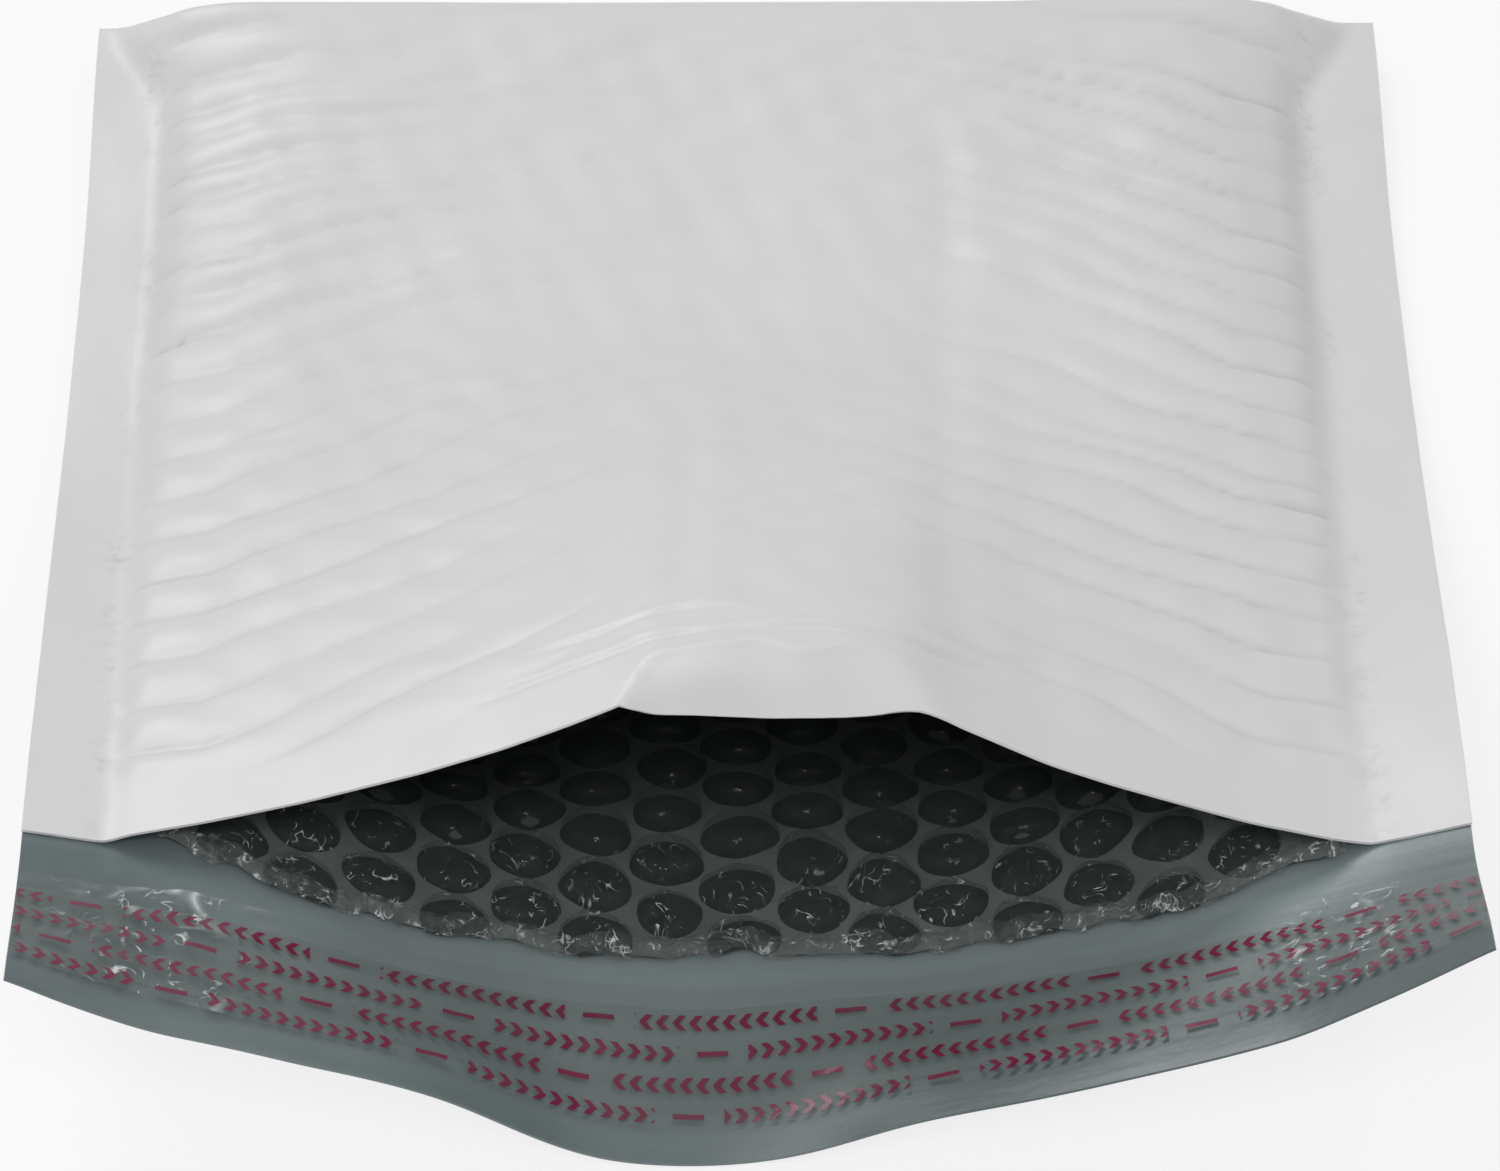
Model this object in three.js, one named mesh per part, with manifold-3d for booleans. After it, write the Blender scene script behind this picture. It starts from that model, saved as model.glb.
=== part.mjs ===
// A padded mailing envelope of plastic film, lying on its back with its mouth propped open.
// Millimetres, +Z up, +X to the right seen from the mouth, +Y towards the bottom fold.
// One folded sheet of film, heat sealed down both sides, makes the pocket and its closing lip.
// One folded sheet of bubble film lines the pocket. The lip carries adhesive under a release liner.
import * as THREE from "three";
import { mergeVertices } from "three/addons/utils/BufferGeometryUtils.js";
import Module from "manifold-3d";

const { clamp, lerp, smoothstep } = THREE.MathUtils;
const wasm = await Module();
wasm.setup();

// Overall sizes, measured on plan
const WIDTH = 184;
const POCKET = 199;
const LIP = 36;
const FILM = 0.4;
const CLEARANCE = 0.2;

// Side seals, where the two plies are fused
const SEAL_LEFT = 10;
const SEAL_RIGHT = 12;
const SEAL_FILLET = 0.8;

// How the padded body lies: heights above the table
const FOLD_RADIUS = 5;
const BODY_HEIGHT = 9.2;
const BODY_SHOULDER = 14;
const SEAM_AT_FOLD = 4.5;
const SEAM_LOW = 2;
const SEAM_SETTLE = 45;
const SIDE_PINCH = 0.6;
const PINCH_LENGTH = 60;

// How the mouth is propped open
const OPEN_FROM = 70;
const SEAM_AT_MOUTH = 23.5;
const MOUTH_DRAW = 2.2;
const SEAL_DROP = 2;
const ARCH_HEIGHT = 20.5;
const ARCH_POWER = 1.35;
const ARCH_DENT = 1.8;
const KINK_LEFT = -16;
const KINK_RIGHT = 21;
const MOUTH_SHOULDER = 52;
const BACK_LIFT = 5;
const BACK_LIFT_FROM = 130;

// The lip sags to the table in a shallow vee between its lifted corners
const LIP_DIP = -7;
const LIP_DIP_RADIUS = 6;
const LIP_RISE_LEFT = 29.4;
const LIP_RISE_RIGHT = 28.5;
const LIP_CURL_LEFT = 2.3;
const LIP_CURL_RIGHT = 8.7;
const LIP_CURL_SPAN = 24;
const LIP_CURL_POWER = 1.5;

// Bubble lining
const LINING_SHEET = 0.6;
const LINING_INSET = 5;
const BACK_LINING_REACH = 4;
const FRONT_LINING_SETBACK = 18;
const BUBBLE_DIAMETER = 9.5;
const BUBBLE_CROWN = 6.6;
const BUBBLE_HEIGHT = 3.6;
const BUBBLE_SIDES = 6;
const BUBBLE_ROOT = 0.3;
const COLUMN_PITCH = 8.95;
const ROW_PITCH = 10;
const BACK_BUBBLE_ROWS = 5;
const FRONT_BUBBLE_ROWS = 2;
const BUBBLE_SQUEEZE = 0.42;
const BUBBLE_FLATTEST = 0.8;

// Release liner and adhesive, measured along the lip from the mouth
const LINER_START = 9;
const LINER_WIDTH = 22;
const LINER_FILM = 0.3;
const ADHESIVE_MARGIN = 3;
const ADHESIVE_COAT = 0.3;

// Heights and widths at a distance d from the bottom fold

const opening = (d) => smoothstep(d, OPEN_FROM, POCKET);

function halfWidth(d) {
  return WIDTH / 2 - SIDE_PINCH * smoothstep(d, 0, PINCH_LENGTH) - MOUTH_DRAW * opening(d);
}

const pocketLeft = (d) => -halfWidth(d) + SEAL_LEFT;
const pocketRight = (d) => halfWidth(d) - SEAL_RIGHT;

// Height of the bond between the plies. At the mouth it drops inwards across the seal.
function seamHeight(x, d) {
  const fold = (SEAM_AT_FOLD - SEAM_LOW) * (1 - smoothstep(d, 0, SEAM_SETTLE));
  const edge = SEAM_LOW + fold + (SEAM_AT_MOUTH - SEAM_LOW) * opening(d);
  const share = (halfWidth(d) - Math.abs(x)) / (x < 0 ? SEAL_LEFT : SEAL_RIGHT);
  return edge - SEAL_DROP * opening(d) * Math.min(share, 1);
}

// 0 at a side seal, 1 from a given distance inside it
function shoulder(x, d, width) {
  const inside = Math.min(x - pocketLeft(d), pocketRight(d) - x);
  return smoothstep(inside, 0, width);
}

// Rounds both panels into the bottom fold
function foldRound(d) {
  const short = 1 - Math.min(d / FOLD_RADIUS, 1);
  return Math.sqrt(1 - short * short);
}

// The front panel's arch: flanks up to two kinks with a dent between them
function arch(x, d) {
  const left = (x - pocketLeft(d)) / (KINK_LEFT - pocketLeft(d));
  const right = (pocketRight(d) - x) / (pocketRight(d) - KINK_RIGHT);
  const rise = ARCH_HEIGHT * Math.pow(clamp(Math.min(left, right), 0, 1), ARCH_POWER);
  const dent = clamp((x - KINK_LEFT) / (KINK_RIGHT - KINK_LEFT), 0, 1);
  return rise - ARCH_DENT * 4 * dent * (1 - dent);
}

function frontOutside(x, d) {
  const seal = seamHeight(x, d) + FILM;
  const padding = (BODY_HEIGHT - SEAM_LOW - FILM) * (1 - opening(d));
  const swell = padding * shoulder(x, d, BODY_SHOULDER) * foldRound(d);
  return seal + swell + opening(d) * arch(x, d);
}

// The free edge of the lip hangs in a vee
const lipFlank = (x) => Math.hypot(x - LIP_DIP, LIP_DIP_RADIUS) - LIP_DIP_RADIUS;

function lipEdge(x) {
  const corner = halfWidth(POCKET);
  const curl = Math.pow(1 - Math.min((corner - Math.abs(x)) / LIP_CURL_SPAN, 1), LIP_CURL_POWER);
  if (x < LIP_DIP) return (LIP_RISE_LEFT * lipFlank(x)) / lipFlank(-corner) + LIP_CURL_LEFT * curl;
  return (LIP_RISE_RIGHT * lipFlank(x)) / lipFlank(corner) + LIP_CURL_RIGHT * curl;
}

function backOutside(x, d) {
  const seal = seamHeight(x, d) - FILM;
  const lowest = BACK_LIFT * smoothstep(d, BACK_LIFT_FROM, POCKET);
  const width = lerp(BODY_SHOULDER, MOUTH_SHOULDER, opening(d));
  const trough = seal - (seal - lowest) * shoulder(x, d, width) * foldRound(d);
  return lerp(trough, lipEdge(x), smoothstep(d, POCKET, POCKET + LIP));
}

const frontInside = (x, d) => frontOutside(x, d) - FILM;
const backInside = (x, d) => backOutside(x, d) + FILM;

// Lines of points across the mailer, each a place at a distance d, shared by every sheet so that they nest
const EDGE_STEPS = [
  SEAL_FILLET,
  LINING_INSET,
  lerp(LINING_INSET, BODY_SHOULDER, 1 / 2),
  BODY_SHOULDER,
  lerp(BODY_SHOULDER, MOUTH_SHOULDER, 1 / 3),
  lerp(BODY_SHOULDER, MOUTH_SHOULDER, 2 / 3),
  MOUTH_SHOULDER,
];

const across = [
  (d) => -halfWidth(d),
  pocketLeft,
  ...EDGE_STEPS.map((inset) => (d) => pocketLeft(d) + inset),
  () => KINK_LEFT,
  () => (KINK_LEFT + KINK_RIGHT) / 2,
  () => KINK_RIGHT,
  ...EDGE_STEPS.toReversed().map((inset) => (d) => pocketRight(d) - inset),
  pocketRight,
  halfWidth,
];
const acrossPocket = across.slice(2, -2);
const acrossLining = across.slice(3, -3);

// Distances from the bottom fold
const FOLD_STEPS = [0, 30, 60].map((degrees) => FOLD_RADIUS * (1 - Math.cos((degrees * Math.PI) / 180)));
const BODY_STEPS = [SEAM_SETTLE / 2, SEAM_SETTLE, OPEN_FROM];
const MOUTH_STEPS = 7;
const FRONT_LINING_END = POCKET - FRONT_LINING_SETBACK;
const LINING_START = FOLD_STEPS[2];

const toMouth = [
  ...FOLD_STEPS,
  LINING_START + LINING_SHEET,
  FOLD_RADIUS,
  ...BODY_STEPS,
  ...Array.from({ length: MOUTH_STEPS }, (_, i) =>
    lerp(OPEN_FROM, FRONT_LINING_END, (i + 1) / MOUTH_STEPS),
  ),
  lerp(FRONT_LINING_END, POCKET, 0.5),
  POCKET,
];
const LINER_END = LINER_START + LINER_WIDTH;
const alongLip = [
  0,
  BACK_LINING_REACH,
  LINER_START,
  LINER_START + ADHESIVE_MARGIN,
  LINER_START + LINER_WIDTH / 2,
  LINER_END - ADHESIVE_MARGIN,
  LINER_END,
  LIP,
].map((step) => POCKET + step);
const between = (steps, from, to) => steps.filter((d) => d >= from && d <= to);

// A closed sheet between two height functions, on the given lines across and distances along
function sheet(lines, distances, lower, upper) {
  const columns = lines.length - 1;
  const rows = distances.length - 1;
  const geometry = new THREE.BoxGeometry(1, 1, 1, columns, rows, 1);
  const points = geometry.attributes.position;
  for (let i = 0; i < points.count; i++) {
    const d = distances[Math.round((0.5 - points.getY(i)) * rows)];
    const places = lines.map((line) => line(d)).sort((a, b) => a - b);
    const x = places[Math.round((points.getX(i) + 0.5) * columns)];
    const height = points.getZ(i) > 0 ? upper : lower;
    points.setXYZ(i, x, -d, height(x, d));
  }
  matchDiagonals(geometry);
  return geometry;
}

// Splits each square of the lower face along the same diagonal as the upper face, so that sheets nest
function matchDiagonals(geometry) {
  const { start, count } = geometry.groups[5];
  for (let i = start; i < start + count; i += 6) {
    const first = geometry.index.getX(i);
    const third = geometry.index.getX(i + 4);
    geometry.index.setX(i + 2, third);
    geometry.index.setX(i + 3, first);
  }
}

// Geometry to solid and back, for joins and cuts
function solid(geometry) {
  const bare = geometry.clone();
  bare.deleteAttribute("normal");
  bare.deleteAttribute("uv");
  const merged = mergeVertices(bare);
  const vertProperties = new Float32Array(merged.attributes.position.array);
  const triVerts = new Uint32Array(merged.index.array);
  return new wasm.Manifold(new wasm.Mesh({ numProp: 3, vertProperties, triVerts }));
}

function geometryOf(body) {
  const { vertProperties, triVerts } = body.getMesh();
  const geometry = new THREE.BufferGeometry();
  geometry.setAttribute("position", new THREE.BufferAttribute(vertProperties, 3));
  geometry.setIndex(new THREE.BufferAttribute(triVerts, 1));
  geometry.computeVertexNormals();
  return geometry;
}

// Film: the pillow of both panels, hollowed to the film's thickness, with the lip joined at the mouth
function outerFilm() {
  const pillow = solid(sheet(across, toMouth, backOutside, frontOutside));
  const hollowSteps = [...toMouth.slice(1), POCKET + FILM];
  const hollow = solid(sheet(acrossPocket, hollowSteps, backInside, frontInside));
  const lip = solid(sheet(across, alongLip, backOutside, backInside));
  return geometryOf(pillow.subtract(hollow).add(lip));
}

// Lining: a back and a front sheet joined at the bottom fold, with bubbles standing on their inner faces
const backLiningFoot = (x, d) => backInside(x, d) + CLEARANCE;
const backLiningFace = (x, d) => backLiningFoot(x, d) + LINING_SHEET;
const frontLiningFoot = (x, d) => frontInside(x, d) - CLEARANCE;
const frontLiningFace = (x, d) => frontLiningFoot(x, d) - LINING_SHEET;

function bubble(x, d, face, inward) {
  const room = frontLiningFace(x, d) - backLiningFace(x, d);
  const height = Math.min(BUBBLE_HEIGHT, BUBBLE_SQUEEZE * room);
  if (height < BUBBLE_FLATTEST) return null;
  const step = BUBBLE_DIAMETER / 4;
  const slopeX = (face(x + step, d) - face(x - step, d)) / (2 * step);
  const slopeY = (face(x, d - step) - face(x, d + step)) / (2 * step);
  const normal = new THREE.Vector3(-slopeX, -slopeY, 1).normalize().multiplyScalar(inward);
  const geometry = new THREE.CylinderGeometry(
    BUBBLE_CROWN / 2,
    BUBBLE_DIAMETER / 2,
    height + BUBBLE_ROOT,
    BUBBLE_SIDES,
  );
  geometry.translate(0, (height - BUBBLE_ROOT) / 2, 0);
  const turn = new THREE.Quaternion().setFromUnitVectors(new THREE.Vector3(0, 1, 0), normal);
  geometry.applyQuaternion(turn);
  return geometry.translate(x, -d, face(x, d));
}

// Columns run along the mailer, every other one half a pitch further on
function bubbleField(end, rows, face, inward) {
  const bubbles = [];
  const middle = (pocketLeft(end) + pocketRight(end)) / 2;
  const reach = (pocketRight(end) - pocketLeft(end)) / 2 - LINING_INSET - BUBBLE_DIAMETER / 2;
  const columns = Math.floor(reach / COLUMN_PITCH);
  for (let column = -columns; column <= columns; column++) {
    const stagger = column % 2 ? ROW_PITCH / 2 : 0;
    for (let row = 0; row < rows; row++) {
      const d = end - BUBBLE_DIAMETER / 2 - stagger - row * ROW_PITCH;
      const made = bubble(middle + column * COLUMN_PITCH, d, face, inward);
      if (made) bubbles.push(made);
    }
  }
  return bubbles;
}

function bubbleLining() {
  const backEnd = POCKET + BACK_LINING_REACH;
  const backSteps = between([...toMouth, ...alongLip.slice(1)], LINING_START, backEnd);
  const frontSteps = between(toMouth, LINING_START, FRONT_LINING_END);
  const foldSteps = [LINING_START, LINING_START + LINING_SHEET];
  const pieces = [
    sheet(acrossLining, backSteps, backLiningFoot, backLiningFace),
    sheet(acrossLining, frontSteps, frontLiningFace, frontLiningFoot),
    sheet(acrossLining, foldSteps, backLiningFoot, frontLiningFoot),
    ...bubbleField(backEnd, BACK_BUBBLE_ROWS, backLiningFace, 1),
    ...bubbleField(FRONT_LINING_END, FRONT_BUBBLE_ROWS, frontLiningFace, -1),
  ];
  const envelope = solid(sheet(acrossLining, backSteps, backLiningFoot, frontLiningFoot));
  return geometryOf(wasm.Manifold.union(pieces.map(solid)).intersect(envelope));
}

// Adhesive line on the lip, and the release liner that covers it
const adhesiveFoot = (x, d) => backInside(x, d) + CLEARANCE;
const adhesiveFace = (x, d) => adhesiveFoot(x, d) + ADHESIVE_COAT;
const linerFoot = (x, d) => adhesiveFace(x, d) + CLEARANCE;
const linerFace = (x, d) => linerFoot(x, d) + LINER_FILM;

function adhesiveStrip() {
  const from = POCKET + LINER_START + ADHESIVE_MARGIN;
  const to = POCKET + LINER_END - ADHESIVE_MARGIN;
  return sheet(across, between(alongLip, from, to), adhesiveFoot, adhesiveFace);
}

function releaseLiner() {
  const steps = between(alongLip, POCKET + LINER_START, POCKET + LINER_END);
  return sheet(across, steps, linerFoot, linerFace);
}

function piece(name, geometry, color, roughness) {
  const mesh = new THREE.Mesh(geometry, new THREE.MeshStandardMaterial({ color, roughness, metalness: 0 }));
  mesh.name = name;
  return mesh;
}

// The frame's origin is under the middle of the mailer, on the table
const mailer = new THREE.Group();
mailer.add(
  piece("outer_film", outerFilm(), 0xe6e6e6, 0.45),
  piece("bubble_lining", bubbleLining(), 0x8a9090, 0.2),
  piece("adhesive_strip", adhesiveStrip(), 0x8c9a9a, 0.3),
  piece("release_liner", releaseLiner(), 0x7f8f90, 0.2),
);
mailer.children.forEach((mesh) => mesh.position.set(0, (POCKET + LIP) / 2, 0));

export default mailer;
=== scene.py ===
import math

import bpy
import numpy as np
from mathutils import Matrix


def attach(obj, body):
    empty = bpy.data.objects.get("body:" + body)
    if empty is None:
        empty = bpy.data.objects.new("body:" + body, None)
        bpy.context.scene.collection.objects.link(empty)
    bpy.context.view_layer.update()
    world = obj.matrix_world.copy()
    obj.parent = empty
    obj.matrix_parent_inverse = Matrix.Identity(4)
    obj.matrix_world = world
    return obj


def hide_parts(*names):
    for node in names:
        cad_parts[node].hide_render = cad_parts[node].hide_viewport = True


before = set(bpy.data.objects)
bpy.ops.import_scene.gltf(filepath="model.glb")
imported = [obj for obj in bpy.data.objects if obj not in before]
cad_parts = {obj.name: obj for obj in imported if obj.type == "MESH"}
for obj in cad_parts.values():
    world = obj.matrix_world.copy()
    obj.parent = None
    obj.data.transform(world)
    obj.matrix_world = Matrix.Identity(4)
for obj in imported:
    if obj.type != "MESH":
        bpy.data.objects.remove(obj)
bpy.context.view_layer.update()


# --- Outer film ---------------------------------------------------------------------------------
# One length of co-extruded plastic film, white outside and blue-grey inside. It is folded once at
# the bottom and heat sealed along both sides, and the back runs on past the mouth as the lip.

MM = 0.001
POCKET, LIP = 199.0, 36.0
FILM = 0.35
SEAL_LEFT, SEAL_RIGHT = 10.0, 12.0
WHITE = (0.735, 0.738, 0.735, 1)
WHITE_WORN = (0.665, 0.668, 0.668, 1)
BLUE_GREY = (0.085, 0.114, 0.119, 1)
BLUE_GREY_PALE = (0.285, 0.340, 0.345, 1)
CREASE_SHADE = (0.55, 0.555, 0.56, 1)
SEAL_SPECK = (0.36, 0.385, 0.385, 1)
GATHER_HEIGHT = 0.72
LINING_FADE = (181, 191)
FOLD_REACH = 5.5
BUMP_ACROSS, BUMP_ALONG = 8.95, 10.3


def ease(x, start, end):
    t = np.clip((x - start) / (end - start), 0, 1)
    return t * t * (3 - 2 * t)


def curve(points, soften):
    """A line through (position, height) points, rounded over about `soften` millimetres."""
    fine = np.linspace(-110, 110, 881)
    places, heights = np.array(points).T
    span = np.arange(-40, 41) * 0.25
    weight = np.exp(-0.5 * (span / soften) ** 2)
    padded = np.pad(np.interp(fine, places, heights), 40, mode="edge")
    line = np.convolve(padded, weight / weight.sum(), mode="valid")
    return lambda x: np.interp(x, fine, line)


def ripple(x, d, size, seed):
    """Uneven waves about `size` millimetres long, of unit height."""
    random = np.random.default_rng(seed)
    total = np.zeros(np.broadcast(x, d).shape)
    for _ in range(8):
        turn, phase = random.uniform(0, 2 * np.pi, 2)
        length = size * random.uniform(0.65, 1.6)
        total += np.sin((x * np.cos(turn) + d * np.sin(turn)) * 2 * np.pi / length + phase)
    return total / 3


mouth_line = curve([
    (-92, 22.6), (-78.4, 22.3), (-67.3, 24.5), (-54.9, 27.5), (-42.5, 31.1), (-30.2, 34.8),
    (-21.6, 38.1), (-15.8, 40.6), (-12, 42.4), (-5, 43.2), (3, 43.4), (12, 43.2), (18, 42.2),
    (21.4, 40.8), (26.1, 37.4), (37.1, 32.1), (49.5, 27.8), (61.9, 23.6), (73.5, 20.7),
    (78.1, 20.6), (92, 22.6)], 1.2)
lip_line = curve([
    (-92, 33.4), (-88.7, 32.1), (-83.2, 28.7), (-71.6, 23.1), (-59.8, 20), (-47.9, 16.1), (-36.1, 11.2),
    (-24.1, 4.8), (-18.1, 2), (-12.1, 0.5), (-6, 0.2), (0.1, 1.2), (6.1, 2.9), (18.2, 7.1),
    (30.2, 10.3), (42.2, 13.7), (54.1, 17.2), (65.9, 21.3), (77.5, 28.5), (83.2, 32.4),
    (88.7, 36.2), (92, 38)], 2.8)
trough_line = curve([
    (-92, 22.6), (-84, 21.8), (-78.4, 21.2), (-73.1, 20.6), (-66, 19.6), (-60, 17.8), (-51.4, 14.4),
    (-42.9, 10.5), (-33.1, 8.3), (-23.2, 6.5), (-5.9, 4.9), (6.5, 6.0), (25.1, 6.7), (43.6, 9.9),
    (55, 13.4), (61.9, 15.8), (70, 17.9), (77.7, 19.2), (84, 20.6), (92, 22.6)], 2.5)


def opening(d):
    return ease(d, 70, POCKET)


def half_width(d):
    return 92 - 0.6 * ease(d, 0, 60) - 2.2 * opening(d) - 0.6 * ease(d, POCKET, POCKET + LIP)


def inside_left(x, d):
    return x + half_width(d) - SEAL_LEFT


def inside_right(x, d):
    return half_width(d) - SEAL_RIGHT - x


def inside(x, d):
    return np.minimum(inside_left(x, d), inside_right(x, d))


def seam(x, d):
    lower = np.minimum((half_width(d) - np.abs(x)) / np.where(x < 0, SEAL_LEFT, SEAL_RIGHT), 1)
    drop = np.where(x < 0, 2.0, 3.3)
    return 2 + 2.5 * (1 - ease(d, 0, 45)) + opening(d) * (21.5 - drop * lower)


def fold_round(d):
    return np.sqrt(1 - (1 - np.clip(d / 5, 0, 1)) ** 2)


GATHERS_LEFT = [-8, 0, 8.5, 17, 24.5, 31, 38, 44.5, 51, 59.5, 67.5, 76.5, 86, 97, 107, 118, 129,
                140.5, 151, 162, 173, 183, 192, 202, 213, 224, 236]
GATHERS_RIGHT = [-12, -1, 10.5, 23.5, 30, 37.5, 46, 54.4, 63, 70, 78, 86.2, 96, 104.5, 115, 121,
                 130, 140.5, 150, 160, 171, 181, 190, 201, 212, 223, 235]


def gathers(depth, d, starts, lean, seed):
    """Puffs between the creases that fan out of a side seal: their relief, and the crease lines."""
    random = np.random.default_rng(seed)
    reach = random.uniform(26, 60, len(starts))
    height = random.uniform(0.55, 1.15, len(starts))
    steps = np.arange(len(starts))
    wander = 1.1 * ripple(depth, d, 26, seed + 1) * ease(depth, 3, 20)
    along = d + wander + lean(d) * np.maximum(depth - 11, 0) ** 1.02
    phase = np.interp(along, starts, steps)
    wave = np.abs(np.sin(np.pi * phase))
    fade = np.exp(-(np.maximum(depth, 0) / np.interp(phase, steps, reach)) ** 2)
    fade = fade * np.interp(phase, steps, height) * ease(depth, -0.8, 3.5)
    return (2 * wave ** 0.55 - 1.2) * fade, np.exp(-(wave / 0.20) ** 2) * fade


def lean_left(d):
    return np.interp(d, [0, 30, 60, 100, 140, 199], [0.05, 0.15, 0.35, 0.60, 0.45, 0.40])


def lean_right(d):
    return np.interp(d, [0, 25, 55, 100, 140, 199], [0.15, 0.45, 0.62, 0.50, 0.35, 0.35])


def crease(x, d, path, depth, width):
    """A pressed line along `path`, with a low ridge on its far side."""
    best, side = np.full(np.broadcast(x, d).shape, 1e9), np.zeros(np.broadcast(x, d).shape)
    ends = np.zeros(best.shape)
    total = len(path) - 1
    for n, ((x0, d0), (x1, d1)) in enumerate(zip(path, path[1:])):
        run = np.hypot(x1 - x0, d1 - d0)
        t = np.clip(((x - x0) * (x1 - x0) + (d - d0) * (d1 - d0)) / run ** 2, 0, 1)
        away = np.hypot(x - x0 - t * (x1 - x0), d - d0 - t * (d1 - d0))
        closer = away < best
        best = np.where(closer, away, best)
        side = np.where(closer, np.sign((x1 - x0) * (d - d0) - (d1 - d0) * (x - x0)) * away, side)
        ends = np.where(closer, (n + t) / total, ends)
    taper = ease(ends, 0, 0.25) * (1 - ease(ends, 0.7, 1))
    return depth * taper * (0.7 * np.exp(-((side + 1.9 * width) / (1.5 * width)) ** 2)
                            - np.exp(-(best / width) ** 2))


def front_detail(x, d):
    """Relief of the front panel: puffs and creases along the seals, pressed bubbles, long folds."""
    lined = 1 - ease(d, *LINING_FADE)
    free = ease(inside(x, d), 0, 5)
    detail = GATHER_HEIGHT * gathers(inside_left(x, d), d, GATHERS_LEFT, lean_left, 11)[0] * lined
    detail += GATHER_HEIGHT * gathers(inside_right(x, d), d, GATHERS_RIGHT, lean_right, 23)[0] * lined
    bumps = np.cos(np.pi * x / BUMP_ACROSS) * np.cos(2 * np.pi * (d + 2 * np.sin(x / 31)) / BUMP_ALONG)
    detail += 0.085 * bumps * free * lined * (0.7 + 0.3 * ripple(x, d, 60, 5)) * ease(d, 4, 14)
    detail += (0.20 * ripple(x, d, 30, 7) + 0.11 * ripple(x, d, 10, 8)) * free * lined * ease(d, 2, 16)
    detail += crease(x, d, [(31, 29), (37, 34), (50.5, 43.5), (64, 51), (77, 55)], 0.55, 1.1)
    detail += crease(x, d, [(40, 31), (51, 38.5), (60, 43), (68, 46.5), (77, 47)], 0.40, 1.0)
    detail += crease(x, d, [(-72, 108), (-60, 106.5), (-52, 101.5), (-44, 96), (-34, 92)], 0.35, 1.0)
    detail += crease(x, d, [(-7.5, 92), (-7, 130), (-7.5, 160), (-9, 184)], 0.28, 2.0)
    detail += crease(x, d, [(29.5, 14), (28.5, 60), (27, 120), (25.5, 184)], 0.24, 2.6)
    detail += crease(x, d, [(-36, 187), (-26, 185), (-16, 184), (-8, 182.5), (2, 182)], 0.28, 0.65)
    detail += crease(x, d, [(-30, 179), (-16, 178), (-8, 176), (2, 176.5)], 0.24, 0.65)
    detail += crease(x, d, [(-6, 182.5), (6, 182), (16, 183), (26, 182.5), (36, 181)], 0.45, 0.7)
    detail += crease(x, d, [(12, 176), (22, 178), (31, 177.5), (40, 176)], 0.30, 0.65)
    return detail


def mouth_pull(x):
    return 3.4 * np.interp(x, [-79, -40, -16, 21, 45, 77], [0, 0.35, 1, 1, 0.35, 0])


crest_line = curve([(-30, 205), (-15.8, 198), (-14, 191.5), (-12, 187), (-5, 186), (2, 185), (7, 188),
                    (13, 186), (19, 187.5), (24, 187), (29, 188), (34, 200)], 0.8)
facet_drop = curve([(-16.4, 0), (-14.8, 0.9), (-11.5, 3.4), (-4, 4.5), (3, 5.1), (8.5, 5.0),
                    (12, 4.8), (16, 3.8), (21.4, 1.2), (24.5, 0.2), (28, 0)], 0.8)


def front_face(x, d):
    """Height of the front panel's outside."""
    mouth = opening(d)
    lift = mouth_line(x) - seam(x, POCKET) - 0.4
    at_fold = 1 - ease(d, 0, 20)
    short = np.clip(1 - (inside(x, d) + 1 + 7 * at_fold) / (27 - 7 * at_fold), 0, 1)
    body = 6.8 * (1 - mouth) * (1 - short ** 2.3) * fold_round(d)
    puff = 1.0 * ease(inside(x, d), 0, 4) * np.exp(-(np.maximum(inside(x, d), 0) / 15) ** 2)
    puff = puff * ease(d, 6, 30) * (1 - 0.75 * ease(d, 165, 195))
    edge = POCKET - mouth_pull(x)
    facet = np.clip((d - crest_line(x)) / np.maximum(edge - crest_line(x), 2), 0, 1.2)
    steep = 0.30 + 0.40 * np.exp(-((x + 5.5) / 6) ** 2)
    even = np.where(facet > 0, np.sqrt(facet ** 2 + 0.001) - 0.032, 0)
    facet = (1 - steep) * even + steep * facet ** 3
    crest = 0.28 * np.exp(-((d - crest_line(x)) / 1.0) ** 2) * ease(facet_drop(x), 0.5, 2.5)
    settle = ease(inside(x, d), -2, 3)
    seal_waver = 0.10 * ripple(x, d, 14, 31) * (1 - settle) * ease(d, 3, 10)
    return (seam(x, d) + 0.4 + body + puff + mouth * lift * settle + front_detail(x, d)
            + crest - facet_drop(x) * facet + seal_waver)


def back_face(x, d):
    """Height of the back panel's outside, and of the lip beyond the mouth."""
    low = 5 * ease(d, 130, POCKET)
    width = 14 + 38 * opening(d)
    bottom = seam(x, d) - 0.4
    trough = bottom - (bottom - low) * ease(inside(x, d), 0, width) * fold_round(d)
    at_mouth = trough_line(x) - 0.4
    trough = trough + (at_mouth - trough) * ease(d, 160, 201) * ease(inside(x, d), -2, 6)
    lip = lip_line(x) - 0.4 + 0.35 * ripple(x, d, 38, 41)
    beyond = trough + (lip - trough) * ease(d, POCKET + 1, POCKET + LIP + 3)
    relief = 0.30 * (1 + gathers(inside_left(x, d), d, GATHERS_LEFT, lean_left, 51)[0])
    relief += 0.30 * (1 + gathers(inside_right(x, d), d, GATHERS_RIGHT, lean_right, 53)[0])
    relief += 0.10 * (1 + np.cos(np.pi * x / BUMP_ACROSS) * np.cos(2 * np.pi * d / BUMP_ALONG))
    relief *= ease(inside(x, d), 0, 6) * ease(d, 3, 14) * (1 - ease(d, 175, 195))
    under_front = np.where(d < POCKET - mouth_pull(x), front_face(x, d) - 0.8, 99)
    return np.clip(beyond + relief, 0.0, np.maximum(under_front, 0.0))


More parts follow.
